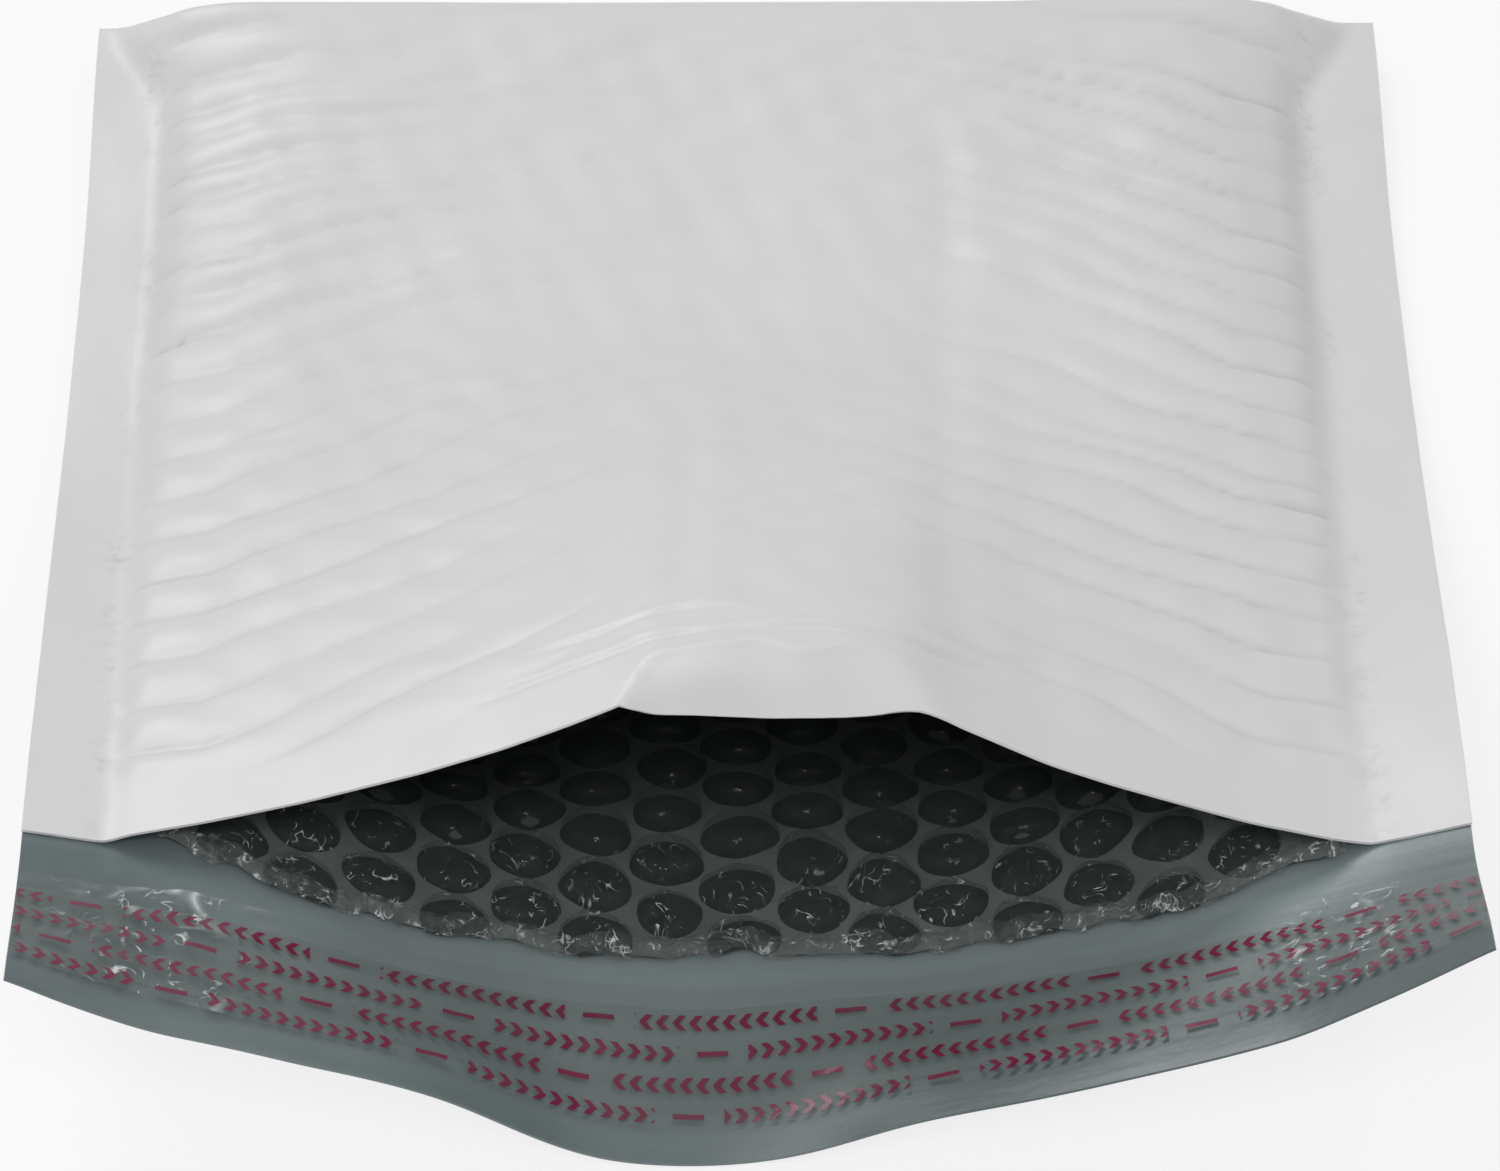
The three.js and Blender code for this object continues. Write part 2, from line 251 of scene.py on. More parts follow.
def grid_faces(rows, columns, start, flip=False):
    r, c = np.meshgrid(np.arange(rows - 1), np.arange(columns - 1), indexing="ij")
    a = (start + r * columns + c).ravel()
    quads = np.stack([a, a + 1, a + columns + 1, a + columns], axis=1)
    return quads[:, ::-1] if flip else quads


def mesh_piece(name, points, faces, materials, face_materials=None, smooth=True, uv=None):
    """A mesh object from millimetre points in (across, from the bottom fold, up)."""
    metres = np.stack([points[:, 0], (POCKET + LIP) / 2 - points[:, 1], points[:, 2]], axis=1) * MM
    mesh = bpy.data.meshes.new(name)
    mesh.from_pydata(metres.tolist(), [], faces if isinstance(faces, list) else faces.tolist())
    for material in materials:
        mesh.materials.append(material)
    if face_materials is not None:
        mesh.polygons.foreach_set("material_index", np.asarray(face_materials, np.int32))
    mesh.polygons.foreach_set("use_smooth", np.full(len(mesh.polygons), smooth))
    if uv is not None:
        corner = np.zeros(len(mesh.loops), np.int32)
        mesh.loops.foreach_get("vertex_index", corner)
        layer = mesh.uv_layers.new(name="UVMap")
        layer.data.foreach_set("uv", uv[corner].astype(np.float32).ravel())
    mesh.update()
    item = bpy.data.objects.new(name, mesh)
    bpy.context.scene.collection.objects.link(item)
    return item


def set_attribute(item, name, values):
    layer = item.data.attributes.new(name, "FLOAT", "POINT")
    layer.data.foreach_set("value", np.asarray(values, np.float32))


def add(tree, kind, sockets=None, **settings):
    """Adds a shader node. A socket takes a value or another node's output."""
    item = tree.nodes.new(kind)
    for name, value in settings.items():
        setattr(item, name, value)
    for key, value in (sockets or {}).items():
        if isinstance(value, bpy.types.NodeSocket):
            tree.links.new(value, item.inputs[key])
        else:
            item.inputs[key].default_value = value
    return item


def math_node(tree, operation, first, second=0.0):
    return add(tree, "ShaderNodeMath", {0: first, 1: second}, operation=operation).outputs[0]


def mix_colour(tree, factor, first, second):
    item = add(tree, "ShaderNodeMix", data_type="RGBA")
    for key, value in ((0, factor), (6, first), (7, second)):
        if isinstance(value, bpy.types.NodeSocket):
            tree.links.new(value, item.inputs[key])
        else:
            item.inputs[key].default_value = value
    return item.outputs[2]


def ramp(tree, value, low, high):
    item = add(tree, "ShaderNodeMapRange", {"Value": value, "From Min": low, "From Max": high})
    return item.outputs["Result"]


def new_group(name, inputs, outputs):
    group = bpy.data.node_groups.new(name, "ShaderNodeTree")
    for label, value in inputs:
        socket = group.interface.new_socket(label, in_out="INPUT", socket_type="NodeSocketFloat")
        socket.default_value = value
    for label in outputs:
        group.interface.new_socket(label, in_out="OUTPUT", socket_type="NodeSocketFloat")
    return group, add(group, "NodeGroupInput"), add(group, "NodeGroupOutput")


def new_material(name, settings):
    material = bpy.data.materials.new(name)
    material.use_nodes = True
    shader = material.node_tree.nodes["Principled BSDF"]
    for key, value in settings.items():
        shader.inputs[key].default_value = value
    return material, material.node_tree, shader


# Film mottle: cloudy tone and the fine grain that rolled plastic film has.
film_mottle, source, result = new_group("film_mottle", [("Cloud", 40.0), ("Grain", 900.0)],
                                        ["Tone", "Height"])
place = add(film_mottle, "ShaderNodeTexCoord").outputs["Object"]
cloud = add(film_mottle, "ShaderNodeTexNoise", {
    "Vector": place, "Scale": source.outputs["Cloud"], "Detail": 5.0, "Roughness": 0.6})
grain = add(film_mottle, "ShaderNodeTexNoise", {
    "Vector": place, "Scale": source.outputs["Grain"], "Detail": 2.0, "Roughness": 0.5})
film_mottle.links.new(ramp(film_mottle, cloud.outputs[0], 0.3, 0.7), result.inputs["Tone"])
film_mottle.links.new(math_node(film_mottle, "ADD", cloud.outputs[0], math_node(
    film_mottle, "MULTIPLY", grain.outputs[0], 0.25)), result.inputs["Height"])

white_film, tree, shader = new_material("white_film", {"Roughness": 0.42, "Specular IOR Level": 0.38})
mottle = add(tree, "ShaderNodeGroup", {"Cloud": 30.0, "Grain": 700.0}, node_tree=film_mottle)
painted_crease_shade = add(tree, "ShaderNodeAttribute", attribute_name="painted_crease_shade").outputs["Fac"]
seal_edge = add(tree, "ShaderNodeAttribute", attribute_name="seal_edge").outputs["Fac"]
seal = add(tree, "ShaderNodeAttribute", attribute_name="seal").outputs["Fac"]
place = add(tree, "ShaderNodeTexCoord").outputs["Object"]
speck = add(tree, "ShaderNodeTexNoise", {
    "Vector": place, "Scale": 420.0, "Detail": 3.0, "Roughness": 0.65})
patch = add(tree, "ShaderNodeTexNoise", {"Vector": place, "Scale": 62.0, "Detail": 2.0})
specks = math_node(tree, "MULTIPLY", ramp(tree, speck.outputs[0], 0.48, 0.72), seal_edge)
specks = math_node(tree, "MULTIPLY", specks, ramp(tree, patch.outputs[0], 0.36, 0.62))
colour = mix_colour(tree, math_node(tree, "MULTIPLY", mottle.outputs["Tone"], 0.35), WHITE, WHITE_WORN)
# Painted shade: the film is darkened along the gathers' crease lines and on the bent facet at the mouth.
colour = mix_colour(tree, math_node(tree, "MULTIPLY", painted_crease_shade, 0.50), colour, CREASE_SHADE)
colour = mix_colour(tree, math_node(tree, "MULTIPLY", specks, 0.40), colour, SEAL_SPECK)
tree.links.new(colour, shader.inputs["Base Color"])
tree.links.new(math_node(tree, "ADD", math_node(tree, "MULTIPLY", mottle.outputs["Tone"], 0.10), 0.38),
               shader.inputs["Roughness"])
pits = add(tree, "ShaderNodeTexVoronoi", {"Vector": place, "Scale": 330.0})
pitting = math_node(tree, "MULTIPLY", math_node(tree, "MULTIPLY", pits.outputs["Distance"], 0.18), seal)
bump = add(tree, "ShaderNodeBump", {
    "Strength": 0.22, "Distance": 0.0006,
    "Height": math_node(tree, "ADD", mottle.outputs["Height"], pitting)})
tree.links.new(bump.outputs["Normal"], shader.inputs["Normal"])

inner_film, tree, shader = new_material("inner_film", {"Specular IOR Level": 0.5})
mottle = add(tree, "ShaderNodeGroup", {"Cloud": 55.0, "Grain": 800.0}, node_tree=film_mottle)
place = add(tree, "ShaderNodeTexCoord").outputs["Object"]
stretched = add(tree, "ShaderNodeMapping", {"Vector": place, "Scale": (9.0, 120.0, 40.0)})
streak = add(tree, "ShaderNodeTexNoise", {
    "Vector": stretched.outputs["Vector"], "Scale": 1.0, "Detail": 4.0, "Roughness": 0.55})
# Painted light and shade: the lip's blue-grey is drawn paler next to the lining and darker at its ends
# and lower right.
painted_lip_shade = add(tree, "ShaderNodeAttribute", attribute_name="painted_lip_shade").outputs["Fac"]
tone = math_node(tree, "MULTIPLY", ramp(tree, streak.outputs[0], 0.35, 0.75), 0.26)
tone = math_node(tree, "ADD", tone, math_node(tree, "MULTIPLY", mottle.outputs["Tone"], 0.12))
painted_lip_light = math_node(tree, "MULTIPLY", math_node(tree, "SUBTRACT", 1.14, painted_lip_shade), 0.61)
tone = math_node(tree, "ADD", tone, painted_lip_light)
tree.links.new(mix_colour(tree, tone, BLUE_GREY, BLUE_GREY_PALE), shader.inputs["Base Color"])
tree.links.new(math_node(tree, "ADD", math_node(tree, "MULTIPLY", streak.outputs[0], 0.16), 0.28),
               shader.inputs["Roughness"])
bump = add(tree, "ShaderNodeBump", {"Strength": 0.25, "Distance": 0.0008, "Height": math_node(
    tree, "ADD", math_node(tree, "MULTIPLY", mottle.outputs["Height"], 0.5), streak.outputs[0])})
tree.links.new(bump.outputs["Normal"], shader.inputs["Normal"])

across = np.linspace(-1, 1, 161)
turn = np.radians(np.linspace(0, 90, 9))
rows = []
front_shares = np.concatenate([np.linspace(1, 0.85, 56), np.linspace(0.84, 0, 132)])
fold_places = FOLD_REACH * (1 - np.cos(turn[:-1]))
back_places = [*fold_places, *np.linspace(6, POCKET - 3, 58), *np.linspace(POCKET - 2, POCKET + LIP, 36)]
for share in front_shares:
    x = across * half_width(share * POCKET)
    d = 6 + share * (POCKET - mouth_pull(x) - 6)
    x = across * half_width(d)
    rows.append((x, d, front_face(x, d)))
for d in fold_places[::-1]:
    x = across * half_width(d)
    rows.append((x, np.full_like(x, d), front_face(x, np.full_like(x, d))))
x = across * half_width(0.0)
fold_row = len(rows)
rows.append((x, np.full_like(x, -0.25), seam(x, np.zeros_like(x))))
for d in back_places:
    x = across * half_width(d)
    rows.append((x, np.full_like(x, d), back_face(x, np.full_like(x, d))))
outer = np.array(rows).transpose(0, 2, 1)
row_count, column_count = outer.shape[:2]
normal = np.cross(np.gradient(outer, axis=1), np.gradient(outer, axis=0))
normal /= np.linalg.norm(normal, axis=2, keepdims=True)
inner = outer + FILM * normal
points = np.concatenate([outer.reshape(-1, 3), inner.reshape(-1, 3)])
layer = row_count * column_count
index = np.arange(layer).reshape(row_count, column_count)
rim = np.concatenate([index[0], index[1:, -1], index[-1, -2::-1], index[-2:0:-1, 0]])
after = np.roll(rim, -1)
outside_faces = grid_faces(row_count, column_count, 0)
faces = np.concatenate([outside_faces, grid_faces(row_count, column_count, layer, True),
                        np.stack([rim, rim + layer, after + layer, after], axis=1)])
sides = len(outside_faces)
steps = np.linalg.norm(np.diff(outer[:, column_count // 2], axis=0), axis=1)
run = np.concatenate([[0], np.cumsum(steps)])
uv = np.stack(np.broadcast_arrays(outer[:, :, 0] / 200 + 0.5, run[:, None] / 450), axis=2)
uv = uv.reshape(-1, 2)
film = mesh_piece("outer_film_sheet", points, faces, [white_film, inner_film],
                  [0] * sides + [1] * sides + [0] * column_count + [1] * (len(rim) - column_count),
                  uv=np.concatenate([uv, uv]))
film.data.set_sharp_from_angle(angle=math.radians(60))
x, d = outer[:, :, 0], np.maximum(outer[:, :, 1], 0)
within = inside(x, d)
# Painted shade for the white film: a mask along the crease lines of the gathers, to darken them.
crease_and_facet_shade = gathers(inside_left(x, d), d, GATHERS_LEFT, lean_left, 11)[1]
crease_and_facet_shade = crease_and_facet_shade + gathers(inside_right(x, d), d, GATHERS_RIGHT, lean_right, 23)[1]
crease_and_facet_shade = crease_and_facet_shade * (1 - ease(d, *LINING_FADE))
row_number = np.arange(row_count)[:, None]
# Painted shade: the bent facet at the middle of the mouth is drawn darker towards its edge.
painted_facet_shade = np.exp(-((x + 5) / 8) ** 2) * ease(d, 189, 196)
crease_and_facet_shade = crease_and_facet_shade + 0.55 * painted_facet_shade * (row_number < fold_row)
set_attribute(film, "painted_crease_shade", np.tile(np.clip(crease_and_facet_shade, 0, 1).ravel(), 2))
set_attribute(film, "seal_edge", np.tile(np.exp(-((within + 1.2) / 1.7) ** 2).ravel(), 2))
set_attribute(film, "seal", np.tile((1 - ease(within, -2, 1)).ravel(), 2))
# Painted light and shade on the lip: this mask makes the inner film paler next to the lining and darker
# at the lip's ends and lower right.
lip_shade = (0.8 + 0.2 * ease(np.abs(x + 7), 10, 40)) * ease(d, POCKET + 4, POCKET + LIP - 2)
lip_shade = np.maximum(lip_shade, np.maximum(1.05 * ease(-x, 50, 80), 0.95 * ease(x, 62, 86)))
lip_shade = lip_shade + 0.40 * ease(x, 5, 40) * ease(d, POCKET + 22, POCKET + 32)
lip_shade = np.where(row_number > fold_row, lip_shade, 1)
set_attribute(film, "painted_lip_shade", np.tile(lip_shade.ravel(), 2))
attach(film, "root")
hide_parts("outer_film")


# --- Bubble lining ------------------------------------------------------------------------------
# Clear bubble film, cut to the pocket and welded to the inside of both panels along the seals.
# A flat web carries thermoformed air bubbles in staggered columns; its cut edge is crumpled.

COLUMN_PITCH, ROW_PITCH = 8.95, 10.0
BUBBLE_ACROSS, BUBBLE_ALONG, BUBBLE_HEIGHT = 4.58, 4.62, 3.5
BACK_EDGE, FRONT_EDGE = 203.0, 181.0
WEB_GREY = (0.132, 0.153, 0.142, 1)
WEB_PALE = (0.222, 0.250, 0.236, 1)
# Painted shade: the web's colour deep in the pocket, where little light reaches.
WEB_PAINTED_SHADE = (0.045, 0.056, 0.047, 1)
# Painted shade: the dark colours of the discs under the bubbles, standing for the film seen in shadow
# through the clear domes.
DEEP_GREEN_BLACK = (0.030, 0.038, 0.035, 1)
UNDER_BUBBLE_PALE = (0.070, 0.084, 0.080, 1)
UNDER_BUBBLE_PAINTED_SHADE = (0.010, 0.015, 0.012, 1)
DOME_TINT, DOME_GLINT = (0.10, 0.115, 0.11, 1), (0.80, 0.82, 0.81, 1)
TORN_TINT, TORN_GLINT = (0.26, 0.28, 0.27, 1), (0.78, 0.80, 0.79, 1)


def back_web(x, d):
    ceiling = front_face(x, np.minimum(d, POCKET)) - 2 * FILM - 0.9
    return np.minimum(back_face(x, d) + FILM + 0.9, np.where(d < POCKET + 1, ceiling, 99))


def front_web(x, d):
    floor = back_face(x, d) + 2 * FILM + 0.6
    return np.maximum(front_face(x, d) - FILM - 0.9, floor)


def ragged(x):
    corner = 4.2 * ease(np.abs(x - 1), 58, 74) + 3.5 * ease(np.abs(x - 1), 70, 77)
    return BACK_EDGE - corner + 0.9 * ripple(x, 0 * x, 17, 61) + 0.45 * ripple(x, 0 * x, 5, 62)


web_film, tree, shader = new_material("web_film", {"Specular IOR Level": 0.55})
mottle = add(tree, "ShaderNodeGroup", {"Cloud": 140.0, "Grain": 1500.0}, node_tree=film_mottle)
# Painted shade: the web is drawn darker deeper in the pocket.
painted_depth_shade = add(tree, "ShaderNodeAttribute", attribute_name="painted_depth_shade").outputs["Fac"]
colour = mix_colour(tree, math_node(tree, "MULTIPLY", mottle.outputs["Tone"], 0.5), WEB_GREY, WEB_PALE)
tree.links.new(mix_colour(tree, painted_depth_shade, colour, WEB_PAINTED_SHADE), shader.inputs["Base Color"])
tree.links.new(math_node(tree, "ADD", math_node(tree, "MULTIPLY", mottle.outputs["Tone"], 0.2), 0.34),
               shader.inputs["Roughness"])
bump = add(tree, "ShaderNodeBump", {
    "Strength": 0.35, "Distance": 0.0006, "Height": mottle.outputs["Height"]})
tree.links.new(bump.outputs["Normal"], shader.inputs["Normal"])

# Painted shade: dark discs under the domes stand for the shaded film seen through the clear bubbles.
bubble_painted_shade, tree, shader = new_material("bubble_painted_shade", {"Roughness": 0.5, "Specular IOR Level": 0.3})
mottle = add(tree, "ShaderNodeGroup", {"Cloud": 260.0, "Grain": 1500.0}, node_tree=film_mottle)
painted_depth_shade = add(tree, "ShaderNodeAttribute", attribute_name="painted_depth_shade").outputs["Fac"]
colour = mix_colour(tree, math_node(tree, "MULTIPLY", mottle.outputs["Tone"], 0.5), DEEP_GREEN_BLACK,
                    UNDER_BUBBLE_PALE)
tree.links.new(mix_colour(tree, painted_depth_shade, colour, UNDER_BUBBLE_PAINTED_SHADE), shader.inputs["Base Color"])

# Crinkle: thin bright lines where clear film is creased, which are painted glints and in part
# stress-whitening, and the relief that goes with them.
crinkle, source, result = new_group("crinkle", [("Size", 300.0), ("Width", 0.05), ("Break", 520.0)],
                                    ["Lines", "Height"])
place = add(crinkle, "ShaderNodeTexCoord").outputs["Object"]
field = add(crinkle, "ShaderNodeTexNoise", {
    "Vector": place, "Scale": source.outputs["Size"], "Detail": 1.5, "Distortion": 1.2})
level = math_node(crinkle, "ABSOLUTE", math_node(crinkle, "SUBTRACT", field.outputs[0], 0.5))
lines = add(crinkle, "ShaderNodeMapRange", {
    "Value": level, "From Min": 0.0, "From Max": source.outputs["Width"], "To Min": 1.0, "To Max": 0.0})
broken = add(crinkle, "ShaderNodeTexNoise", {
    "Vector": place, "Scale": source.outputs["Break"], "Detail": 1.0})
crinkle.links.new(math_node(crinkle, "MULTIPLY", lines.outputs["Result"],
                            ramp(crinkle, broken.outputs[0], 0.46, 0.66)), result.inputs["Lines"])
crinkle.links.new(level, result.inputs["Height"])

clear_bubble, tree, shader = new_material("clear_bubble", {
    "Roughness": 0.09, "Specular IOR Level": 0.8})
# Painted glints: white crinkle lines on the crumpled domes of the outer rows, in part stress-whitening
# of the film.
glint = add(tree, "ShaderNodeGroup", {"Size": 330.0, "Width": 0.030}, node_tree=crinkle)
crumple_glint_mask = add(tree, "ShaderNodeAttribute", attribute_name="crumple").outputs["Fac"]
whitening_and_glints = math_node(tree, "MULTIPLY", glint.outputs["Lines"], crumple_glint_mask)
facing = add(tree, "ShaderNodeLayerWeight", {"Blend": 0.30}).outputs["Facing"]
clear = math_node(tree, "ADD", math_node(tree, "MULTIPLY", facing, 0.20), 0.10)
tree.links.new(math_node(tree, "MAXIMUM", clear, whitening_and_glints), shader.inputs["Alpha"])
tree.links.new(mix_colour(tree, whitening_and_glints, DOME_TINT, DOME_GLINT), shader.inputs["Base Color"])
bump = add(tree, "ShaderNodeBump", {"Strength": 0.6, "Distance": 0.0012, "Height": math_node(
    tree, "MULTIPLY", glint.outputs["Height"], crumple_glint_mask)})
tree.links.new(bump.outputs["Normal"], shader.inputs["Normal"])

torn_film, tree, shader = new_material("torn_film", {"Roughness": 0.12, "Specular IOR Level": 0.8})
# Painted glints: white crinkle lines along the torn edge, in part stress-whitening of the film.
glint = add(tree, "ShaderNodeGroup", {"Size": 420.0, "Width": 0.075}, node_tree=crinkle)
facing = add(tree, "ShaderNodeLayerWeight", {"Blend": 0.35}).outputs["Facing"]
clear = math_node(tree, "ADD", math_node(tree, "MULTIPLY", facing, 0.30), 0.22)
tree.links.new(math_node(tree, "MAXIMUM", clear, glint.outputs["Lines"]), shader.inputs["Alpha"])
tree.links.new(mix_colour(tree, glint.outputs["Lines"], TORN_TINT, TORN_GLINT),
               shader.inputs["Base Color"])
bump = add(tree, "ShaderNodeBump", {
    "Strength": 0.7, "Distance": 0.0012, "Height": glint.outputs["Height"]})
tree.links.new(bump.outputs["Normal"], shader.inputs["Normal"])

parts_points, parts_faces, parts_material, parts_crumple = [], [], [], []


def collect(points, faces, material, crumple):
    start = sum(len(p) for p in parts_points)
    parts_points.append(points)
    parts_faces.append(faces + start)
    parts_material.append(np.full(len(faces), material))
    parts_crumple.append(np.broadcast_to(crumple, len(points)))


def collect_web(height, edge):
    """The flat sheet between the bubbles, from the cut edge down to the bottom fold."""
    places = np.linspace(0, 1, 119)
    left_end = -half_width(POCKET) + SEAL_LEFT + 3
    right_end = half_width(POCKET) - SEAL_RIGHT - 4
    x = left_end * (1 - places) + right_end * places
    reach = edge(x)
    lines = []
    for share in np.concatenate([np.linspace(1, 0.72, 44), np.linspace(0.71, 0, 46)]):
        d = 5 + share * (reach - 5)
        lines.append(np.stack([x, d, height(x, d)], axis=1))
    collect(np.concatenate(lines), grid_faces(len(lines), len(places), 0), 0, 0.0)


def collect_bubbles(height, edge, up, rows, shift, seed):
    """Bubbles in staggered columns: a clear dome over a dark disc, which is painted shade for the film
    seen through it.
    """
    random = np.random.default_rng(seed)
    for column in range(-8, 9):
        for row in range(rows):
            jitter = random.normal(0, 1, 6)
            x0 = column * COLUMN_PITCH - 1.0 + 0.25 * jitter[0]
            d0 = edge - 3.6 - row * ROW_PITCH - (column % 2) * ROW_PITCH / 2 + shift + 0.25 * jitter[1]
            limit = float(inside(np.array(x0), np.array(min(d0, POCKET))))
            if limit < 7 or d0 < 12:
                continue
            outer_row = float(1 - ease(np.array(row + (column % 2) * 0.5), 0.4, 2.6))
            around = np.linspace(0, 2 * np.pi, 25 if row < 6 else 17)[:-1]
            cosine, sine = np.cos(around), np.sin(around)
            lens_x = np.sign(cosine) * np.abs(cosine) ** 1.06
            lens_d = np.sign(sine) * np.abs(sine) ** 0.94 * (1 - 0.10 * np.abs(cosine))
            wide = BUBBLE_ACROSS * (1 + 0.035 * jitter[2])
            wide = wide * (1 + 0.055 * np.sin(3 * around + 9 * jitter[3]))
            long = BUBBLE_ALONG * (1 + 0.035 * jitter[3])
            long = long * (1 + 0.075 * np.cos(2 * around + 7 * jitter[2]))
            slack = 1 - outer_row * (0.25 + 0.12 * abs(jitter[4]))
            gap = float(front_face(np.array(x0), np.array(min(d0, 196.0)))
                        - back_face(np.array(x0), np.array(min(d0, 196.0)))) - 2.6
            tall = min(BUBBLE_HEIGHT, max(0.46 * gap, 0.2)) * slack
            rings = []
            for angle in np.radians([0, 16, 34, 52, 70] if row < 6 else [0, 30, 62]):
                share, rise = np.cos(angle) ** 0.75, np.sin(angle) ** 0.85
                x = x0 + wide * lens_x * share
                d = d0 + long * lens_d * share
                rings.append((x, d, np.full_like(x, rise)))
            rings.append((np.array([x0]), np.array([d0]), np.array([1.0])))
            x, d, rise = (np.concatenate(part) for part in zip(*rings))
            d = np.minimum(d, ragged(x) + 0.5 * up) if up > 0 else d
            dent_seed = seed + (column + 8) * 40 + row
            dent = outer_row * 0.55 * ripple(x + 3 * jitter[4], d, 3.4, dent_seed) * rise
            z = height(x, np.minimum(d, POCKET + 8)) + up * (0.06 + tall * rise + dent)
            count, level_count = len(around), len(rings) - 1
            faces = []
            for level in range(level_count - 1):
                a = level * count + np.arange(count)
                b = level * count + (np.arange(count) + 1) % count
                faces.append(np.stack([a, b, b + count, a + count], axis=1))
            top = (level_count - 1) * count
            tip = np.full(count, level_count * count)
            cap = np.stack([top + np.arange(count), top + (np.arange(count) + 1) % count,
                            tip, tip], axis=1)
            collect(np.stack([x, d, z], axis=1), np.concatenate(faces + [cap]), 2,
                    0.12 + 0.88 * outer_row)
            # A dark disc under the dome: painted shade for the film seen through it.
            floor_x = np.concatenate([x[:count] * 0.985 + x0 * 0.015, [x0]])
            centre_d = min(d0, float(ragged(np.array([x0]))[0]))
            floor_d = np.concatenate([d[:count] * 0.985 + d0 * 0.015, [centre_d]])
            floor_z = height(floor_x, np.minimum(floor_d, POCKET + 8)) + up * 0.05
            a = np.arange(count)
            disc = np.stack([a, (a + 1) % count, np.full(count, count), np.full(count, count)], axis=1)
            collect(np.stack([floor_x, floor_d, floor_z], axis=1), disc, 1, 0.0)


collect_web(back_web, ragged)
collect_bubbles(back_web, BACK_EDGE, 1, 19, 1.4, 71)
collect_web(front_web, lambda x: FRONT_EDGE + 0 * x)
collect_bubbles(front_web, FRONT_EDGE, -1, 8, -2.0, 73)

# The cut edge itself: a torn strip of dome film, folded up and down along the web's end.
strip_x = np.linspace(-74, 74, 380)
strip = []
for share, rise in ((0.0, 0.1), (0.35, 1.0), (0.7, 0.9), (1.0, 0.15)):
    wave = ripple(strip_x, 0 * strip_x + 9 * share, 6.0, 81)
    wave = wave + 0.6 * ripple(strip_x, 0 * strip_x + 7 * share, 2.6, 82)
    d = ragged(strip_x) - 3.4 + 4.0 * share + 0.5 * wave
    z = back_web(strip_x, d) + 0.1 + rise * (0.9 + 0.75 * wave)
    strip.append(np.stack([strip_x, d, z], axis=1))
strip = np.concatenate(strip)
strip[:, 2] = np.maximum(strip[:, 2], back_web(strip[:, 0], strip[:, 1]) + 0.08)
collect(strip, grid_faces(4, len(strip_x), 0), 3, 1.0)

quads = np.concatenate(parts_faces)
faces = [q[:3].tolist() if q[2] == q[3] else q.tolist() for q in quads]
lining = mesh_piece("bubble_lining_sheet", np.concatenate(parts_points), faces,
                    [web_film, bubble_painted_shade, clear_bubble, torn_film], np.concatenate(parts_material))
set_attribute(lining, "crumple", np.concatenate(parts_crumple))
# Painted shade: the web and the bubble discs are drawn darker deeper in the pocket, away from the mouth.
set_attribute(lining, "painted_depth_shade", 0.8 * (1 - ease(np.concatenate(parts_points)[:, 1], 158, 198)))
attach(lining, "root")
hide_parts("bubble_lining")


# --- Adhesive strip -----------------------------------------------------------------------------
# A band of clear pressure-sensitive adhesive, coated on the inside of the lip from seal to seal.
# It is tacky and slightly cloudy, with small trapped air marks along its borders.

ADHESIVE_FROM, ADHESIVE_TO = 211.0, 227.0
CLEAR_GREEN = (0.190, 0.225, 0.212, 1)
CLOUDY_GREEN = (0.260, 0.292, 0.280, 1)

clear_adhesive, tree, shader = new_material("clear_adhesive", {"Specular IOR Level": 0.6})
mottle = add(tree, "ShaderNodeGroup", {"Cloud": 70.0, "Grain": 900.0}, node_tree=film_mottle)
tree.links.new(mix_colour(tree, mottle.outputs["Tone"], CLEAR_GREEN, CLOUDY_GREEN),
               shader.inputs["Base Color"])
tree.links.new(math_node(tree, "ADD", math_node(tree, "MULTIPLY", mottle.outputs["Tone"], 0.24), 0.10),
               shader.inputs["Alpha"])
tree.links.new(math_node(tree, "ADD", math_node(tree, "MULTIPLY", mottle.outputs["Tone"], 0.2), 0.22),
               shader.inputs["Roughness"])
bump = add(tree, "ShaderNodeBump", {
    "Strength": 0.3, "Distance": 0.0005, "Height": mottle.outputs["Height"]})
tree.links.new(bump.outputs["Normal"], shader.inputs["Normal"])


def lip_strip(first, last, across_count, along_count, lift):
    """Points of a band on the lip's inner face, between two distances from the bottom fold."""
    lines = []
    for d in np.linspace(first, last, along_count):
        x = np.linspace(-1, 1, across_count) * (half_width(d) - 0.3)
        d = np.full_like(x, d)
        lines.append(np.stack([x, d, back_face(x, d) + FILM + lift(x, d)], axis=1))
    return np.concatenate(lines)


points = lip_strip(ADHESIVE_FROM, ADHESIVE_TO, 150, 12, lambda x, d: 0.25 + 0.05 * ripple(x, d, 8, 91))
adhesive = mesh_piece("adhesive_band", points, grid_faces(12, 150, 0), [clear_adhesive])
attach(adhesive, "root")
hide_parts("adhesive_strip")


# --- Release liner ------------------------------------------------------------------------------
# A strip of thin clear film laid over the adhesive, from side to side, to be peeled off when the
# envelope is closed. Rows of magenta marks are printed on it, and it has lifted and creased.

LINER_FROM, LINER_TO = 208.0, 230.0
MAGENTA = (0.190, 0.004, 0.045, 1)
LINER_TINT, LINER_GLINT = (0.27, 0.31, 0.305, 1), (0.72, 0.74, 0.74, 1)
PRINT_ROWS = (5.6, 10.4, 15.2, 20.0)
MARK_HALF_HEIGHT, MARK_PITCH, MARK_WIDTH = 1.15, 2.05, 0.88
GROUP_PITCH, GROUP_LENGTH, DASH_PLACE, DASH_HALF = 31.0, 22.5, 26.6, 1.9
ROW_SHIFT = 17.0


def liner_lift(x, d):
    loose = np.exp(-((x + 72) / 13) ** 2) + 0.3 * np.exp(-((x - 72) / 9) ** 2)
    loose = loose + 0.35 * np.exp(-((x + 20) / 22) ** 2) + 0.3 * np.exp(-((x - 25) / 20) ** 2)
    buckle = 0.45 + 0.42 * np.abs(ripple(x, d * 0.6, 9, 96))
    return 0.56 + 0.10 * ripple(x, d, 16, 95) + loose * buckle


